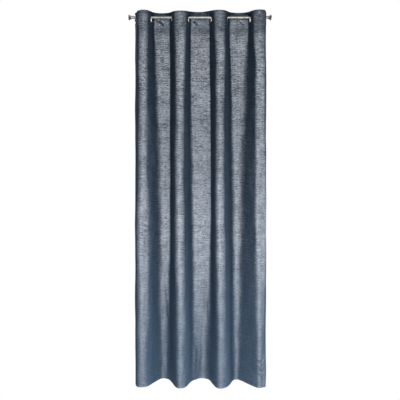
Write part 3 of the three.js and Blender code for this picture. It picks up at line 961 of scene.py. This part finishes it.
def cloth_material(name, roughness, heading_with_rod_shadow=False):
    """Slubby cloth: matt navy yarn under a satin face of silver-grey threads, seen where it faces the eye.

    Painted shade dims the satin of the outer folds near the top, more so on the right. On the
    heading, a painted shadow of the rod dims the satin of the back folds above it.
    """
    material, n = new_material(name)
    flat = n.add("UVMap", uv_map="flat").outputs[0]
    height = n.add("SeparateXYZ", {0: flat}).outputs["Y"]

    # From 0 for the darkest yarn to 1 for the lightest, and 0.5 in the middle, as each noise is.
    layers = [n.noise(flat, tone.fineness, TONE_DETAIL, tone.roughness) for tone in TONES]
    weft = n.noise(flat, WEFT, 1, 0.5)
    warp = n.noise(flat, WARP, 1, 0.5)
    total_weight = WEFT_TONE + sum(tone.weight for tone in TONES)
    tone = n.maths("MULTIPLY_ADD", weft, WEFT_TONE, 0.5 - 0.5 * total_weight)
    for layer, (_, _, weight) in zip(layers, TONES):
        tone = n.maths("MULTIPLY_ADD", layer, weight, tone)
    tone = n.maths("MULTIPLY_ADD", n.maths("SUBTRACT", tone, 0.5), n.by_height(height, SHADE_AND_SLUBS_BY_HEIGHT, "slubs"), 0.5)
    tone = n.ramp(tone, 0.0, 1.0)
    # Painted light: the matt yarn is made lighter towards the hem.
    matt_colour = n.scaled(n.mix(tone, DEEP_NAVY, NAVY), n.by_height(height, SHADE_AND_SLUBS_BY_HEIGHT, "matt"))
    satin_colour = n.mix(tone, PEWTER, SILVER)

    relief = n.maths("MULTIPLY_ADD", weft, WEFT_RELIEF, n.maths("MULTIPLY", warp, WARP_RELIEF))
    relief = n.maths("MULTIPLY_ADD", tone, TONE_RELIEF, relief)
    bump = n.add("Bump", {
        "Height": relief, "Strength": RELIEF_STRENGTH, "Distance": RELIEF_DEPTH}).outputs[0]
    matt = n.add("BsdfPrincipled", {
        "Base Color": matt_colour, "Roughness": MATT_ROUGHNESS, "Normal": bump,
        "Specular IOR Level": MATT_SPECULAR})
    face = n.add("BsdfPrincipled", {
        "Base Color": satin_colour, "Metallic": 1.0, "Roughness": roughness, "Normal": bump})

    facing = n.add("LayerWeight", {"Blend": 0.5, "Normal": bump}).outputs["Facing"]
    gone = SATIN_GONE + (HEADING_SATIN_WIDER if heading_with_rod_shadow else 0.0)
    shine = n.ramp(facing, SATIN_FULL, gone, SATIN_SHARE, 0.0)
    # Painted shade and light by height on the satin.
    shine = n.maths("MULTIPLY", shine, n.by_height(height, SHADE_AND_SLUBS_BY_HEIGHT, "satin"))
    place = n.add("SeparateXYZ", {0: n.add("NewGeometry").outputs["Position"]}).outputs
    # Painted shade: the satin is dimmed on the outer folds near the top, more so on the right.
    right = n.ramp(place["X"], *OUTER_SHADE_RIGHT)
    left = n.ramp(place["X"], *OUTER_SHADE_LEFT, 0.0, OUTER_SHADE_LEFT_SHARE)
    outer_shade = n.maths("MULTIPLY", n.maths("MAXIMUM", right, left), n.ramp(place["Z"], *OUTER_SHADE_UP))
    shine = n.maths("MULTIPLY", shine, n.maths("MULTIPLY_ADD", outer_shade, -OUTER_SHADE_SHARE, 1.0))
    # Painted shadow: the rod's shadow dims the satin of the heading's back folds above it.
    if heading_with_rod_shadow:
        rod_shadow = n.maths("MULTIPLY", n.ramp(place["Y"], *ROD_SHADOW_BACK), n.ramp(place["Z"], *ROD_SHADOW_UP))
        shine = n.maths("MULTIPLY", shine, n.maths("MULTIPLY_ADD", rod_shadow, -ROD_SHADOW_SHARE, 1.0))
    n.finish(n.add("MixShader", {0: shine, 1: matt.outputs[0], 2: face.outputs[0]}).outputs[0])
    return material


Metal = namedtuple("Metal", "name colour roughness grain")
ROD_METAL = Metal("satin_nickel", (0.25, 0.245, 0.235, 1), 0.27, (12, 900, 900))
FINIAL_METAL = Metal("cast_nickel", (0.34, 0.332, 0.318, 1), 0.27, (12, 900, 900))
# The eyelets' nickel is given a near-black colour: painted shade for the dark reflections the silver
# eyelets show.
EYELET_METAL = Metal("eyelet_nickel_shaded", (0.06, 0.063, 0.07, 1), 0.18, (300, 300, 1200))
TARNISH = 0.72  # the dull spots' share of the clean metal's colour
TARNISH_FROM, TARNISH_TO = 0.35, 0.7  # of the smudges' noise
SMUDGE_FINENESS, SPOT_FINENESS = (60, 60, 60), (900, 900, 900)
GRAIN_DETAIL, GRAIN_HARSHNESS = 3, 0.7
GRAIN_ROUGHNESS, SMUDGE_ROUGHNESS = 0.16, 0.14
SPOT_RELIEF = 0.3
GRAIN_STRENGTH, GRAIN_DEPTH = 0.25, 0.0001


def metal_material(metal):
    """Satin-plated metal: fine grain, soft smudges, a little tarnish."""
    material, n = new_material(metal.name)
    place = n.add("NewGeometry").outputs["Position"]
    grain = n.noise(place, metal.grain, GRAIN_DETAIL, GRAIN_HARSHNESS)
    smudge = n.noise(place, SMUDGE_FINENESS, 2, 0.5)
    spots = n.noise(place, SPOT_FINENESS, 2, 0.5)
    dull = tuple(c * TARNISH for c in metal.colour[:3]) + (1,)
    tint = n.mix(n.ramp(smudge, TARNISH_FROM, TARNISH_TO), dull, metal.colour)
    rough = n.maths("MULTIPLY_ADD", grain, GRAIN_ROUGHNESS, metal.roughness - GRAIN_ROUGHNESS / 2)
    rough = n.maths("MULTIPLY_ADD", smudge, SMUDGE_ROUGHNESS, rough)
    relief = n.maths("MULTIPLY_ADD", spots, SPOT_RELIEF, grain)
    bump = n.add("Bump", {
        "Height": relief, "Strength": GRAIN_STRENGTH, "Distance": GRAIN_DEPTH}).outputs[0]
    body = n.add("BsdfPrincipled", {
        "Base Color": tint, "Metallic": 1.0, "Roughness": rough, "Normal": bump})
    n.finish(body.outputs[0])
    return material


THREAD_DARK = (0.050, 0.060, 0.076, 1)
THREAD_LIGHT = (0.085, 0.100, 0.122, 1)
THREAD_ROUGHNESS = 0.55
TWIST_FINENESS = (1500, 1500, 4000)
TWIST_STRENGTH, TWIST_DEPTH = 0.4, 0.0002


def thread_material():
    material, n = new_material("thread")
    place = n.add("NewGeometry").outputs["Position"]
    twist = n.noise(place, TWIST_FINENESS, 1, 0.5)
    colour = n.mix(twist, THREAD_DARK, THREAD_LIGHT)
    bump = n.add("Bump", {
        "Height": twist, "Strength": TWIST_STRENGTH, "Distance": TWIST_DEPTH}).outputs[0]
    body = n.add("BsdfPrincipled", {"Base Color": colour, "Roughness": THREAD_ROUGHNESS, "Normal": bump})
    n.finish(body.outputs[0])
    return material


# ---- The pieces ----

ROOT = "root"
STITCH_MARGIN = 4  # of the side hems' and the heading's stitches from the cloth's ends


def keep(piece, slot, *nodes):
    """Fixes a piece to the frame, and lets it stand for its CAD nodes, which it hides."""
    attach(piece, ROOT)
    if nodes:
        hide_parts(*nodes)
    return piece


def panel_heights():
    """The heights of the panel's rows of points, from its top down."""
    heights = [HEADING_FOOT - FIT_GAP - down for down in TOP_ROWS]
    ends = [stretch.above_hem for stretch in STRETCHES[1:]] + [HEM_ROWS[0]]
    for stretch, end in zip(STRETCHES, ends):
        heights += list(HEM + np.linspace(stretch.above_hem, end, stretch.rows, endpoint=False))
    return heights + [HEM + up for up in HEM_ROWS]


def side_stitch_run():
    run = []
    for along in (SIDE_STITCH, FLAT_WIDTH - SIDE_STITCH):
        run += upright_run(along, HEM + STITCH_MARGIN, HEADING_FOOT - STITCH_MARGIN, panel_offsets)
    return run


def make_cloth():
    cloth = cloth_material("curtain_cloth", SATIN_ROUGHNESS)
    heading_cloth = cloth_material("heading_cloth", HEADING_ROUGHNESS, heading_with_rod_shadow=True)
    thread = thread_material()
    panel = sheet_mesh("curtain_cloth", panel_heights(), panel_offsets, cloth)
    heading = sheet_mesh("heading_cloth", HEADING_Z, heading_offsets, heading_cloth)
    punch_holes(heading)
    keep(panel, "cloth", "curtain_panel")
    keep(heading, "heading", "heading_band")
    hem_run = level_run(HEM_STITCH_Z, SIDE_HEM, FLAT_WIDTH - SIDE_HEM, panel_offsets)
    hem_seam = keep(stitches("hem_stitches", hem_run, thread), "cloth")
    side_seams = keep(stitches("side_stitches", side_stitch_run(), thread), "cloth")
    heading_run = level_run(
        HEADING_FOOT + HEADING_STITCH, STITCH_MARGIN, FLAT_WIDTH - STITCH_MARGIN, heading_offsets)
    heading_seam = keep(stitches("heading_stitches", heading_run, thread), "heading")


def make_metalwork():
    nickel = metal_material(ROD_METAL)
    cast_nickel = metal_material(FINIAL_METAL)
    eyelet_nickel_shaded = metal_material(EYELET_METAL)
    keep(rod_tube(nickel), "rod_steel", "rod")
    keep(finial("finial_left_trumpet", AGAINST_X, cast_nickel), "rod_steel", "finial_left")
    keep(finial("finial_right_trumpet", ALONG_X, cast_nickel), "rod_steel", "finial_right")
    for index in range(len(EYELETS)):
        keep(eyelet_face(index, eyelet_nickel_shaded), "eyelet", f"eyelet_{index + 1}_ring")
        keep(eyelet_back(index, eyelet_nickel_shaded), "eyelet", f"eyelet_{index + 1}_washer")


# ---- Camera, lights and stage ----

CAMERA_DISTANCE = 4.232
CAMERA_HEIGHT = -0.673
CAMERA_PITCH = 6.256  # degrees below the horizon
CAMERA_LENS = 57.44
CAMERA_SENSOR = 36
CAMERA_SHIFT = -0.02


def make_camera():
    data = bpy.data.cameras.new("camera")
    data.sensor_width = CAMERA_SENSOR
    data.lens = CAMERA_LENS
    data.shift_y = CAMERA_SHIFT
    camera = bpy.data.objects.new("camera", data)
    camera.location = (0, -CAMERA_DISTANCE, CAMERA_HEIGHT)
    camera.rotation_euler = (math.radians(90 - CAMERA_PITCH), 0, 0)
    bpy.context.scene.collection.objects.link(camera)
    bpy.context.scene.camera = camera


# In metres, watts and degrees. The rim lamp, just behind the curtain's plane, lights its right edge.
Lamp = namedtuple("Lamp", "name place aim size power colour spread", defaults=((1, 1, 1), 180))
LAMPS = [
    Lamp("key", (0.20, -3.6, -2.10), (0, 0, -1.40), (0.9, 1.2), 88),
    Lamp("low_fill", (0.3, -1.9, -2.75), (0, 0, -2.3), (2.4, 0.7), 28, (0.90, 0.95, 1.0)),
    Lamp("side_fill", (1.8, -2.3, -2.7), (0.0, 0, -2.35), (1.0, 0.8), 15, (0.92, 0.96, 1.0)),
    Lamp("high", (0, -2.8, 0.45), (0, 0, -0.20), (1.8, 0.25), 7),
    Lamp("rim", (2.7, 0.2, -1.5), (0.46, -0.02, -1.38), (0.3, 0.3), 1.4, spread=24),
    Lamp("flank_fill", (2.6, -0.9, -1.9), (0.2, 0, -1.75), (0.5, 0.6), 26),
    Lamp("back_left", (-1.8, 3.4, -0.4), (0, 0, -1.2), (1.6, 2.2), 30),
    Lamp("back_right", (1.8, 3.4, -0.4), (0, 0, -1.2), (1.6, 2.2), 30),
]


def make_lights():
    for lamp in LAMPS:
        data = bpy.data.lights.new(lamp.name, "AREA")
        data.shape = "RECTANGLE"
        data.size, data.size_y = lamp.size
        data.energy = lamp.power
        data.color = lamp.colour
        data.spread = math.radians(lamp.spread)
        light = bpy.data.objects.new(lamp.name, data)
        light.location = lamp.place
        light.rotation_euler = (Vector(lamp.aim) - Vector(lamp.place)).to_track_quat("-Z", "Y").to_euler()
        light.visible_camera = False
        bpy.context.scene.collection.objects.link(light)


AMBIENT = 0.14
AMBIENT_COLOUR = (0.93, 0.96, 1.0, 1)
FLOOR_BELOW_HEM = 0.45
FLOOR_SIZE = 60
FLOOR_LIT, FLOOR_FAR = 0.25, 0.68  # metres from the middle between which the floor fades into the backdrop
FLOOR_GREY = (0.82, 0.82, 0.82, 1)


def seen_share(n):
    """1 for the rays that show a background: from the camera, from gloss and through glass."""
    path = n.add("LightPath").outputs
    gloss = n.maths("MAXIMUM", path["Is Glossy Ray"], path["Is Transmission Ray"])
    return n.maths("MAXIMUM", path["Is Camera Ray"], gloss)


def make_world():
    world = bpy.data.worlds.new("studio")
    world.use_nodes = True
    bpy.context.scene.world = world
    n = Nodes(world.node_tree)
    white = n.add("Background", {"Color": (1, 1, 1, 1), "Strength": 1.0})
    ambient = n.add("Background", {"Color": AMBIENT_COLOUR, "Strength": AMBIENT})
    shown = n.add("MixShader", {0: seen_share(n), 1: ambient.outputs[0], 2: white.outputs[0]})
    n.add("OutputWorld", {"Surface": shown.outputs[0]})


def make_floor():
    low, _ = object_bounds()
    bpy.ops.mesh.primitive_plane_add(size=FLOOR_SIZE, location=(0, 0, low.z - FLOOR_BELOW_HEM))
    floor = bpy.context.object
    floor.name = "floor"
    material, n = new_material("pale_floor")
    place = n.add("NewGeometry").outputs["Position"]
    flat_place = n.scaled(place, (1, 1, 0))
    away = n.add("VectorMath", {0: flat_place}, operation="LENGTH").outputs["Value"]
    lit = n.add("BsdfDiffuse", {"Color": FLOOR_GREY})
    near = n.add("BsdfDiffuse", {"Color": (1.0, 1.0, 1.0, 1)})
    white = n.add("Emission", {"Color": (1, 1, 1, 1), "Strength": 1.0})
    fade = n.ramp(away, FLOOR_LIT, FLOOR_FAR)
    seen = n.add("MixShader", {0: fade, 1: near.outputs[0], 2: white.outputs[0]})
    shown = n.add("MixShader", {0: seen_share(n), 1: lit.outputs[0], 2: seen.outputs[0]})
    n.finish(shown.outputs[0])
    floor.data.materials.append(material)


make_camera()
make_cloth()
make_metalwork()
make_lights()
make_world()
make_floor()

scene = bpy.context.scene
scene.view_settings.view_transform = "Standard"
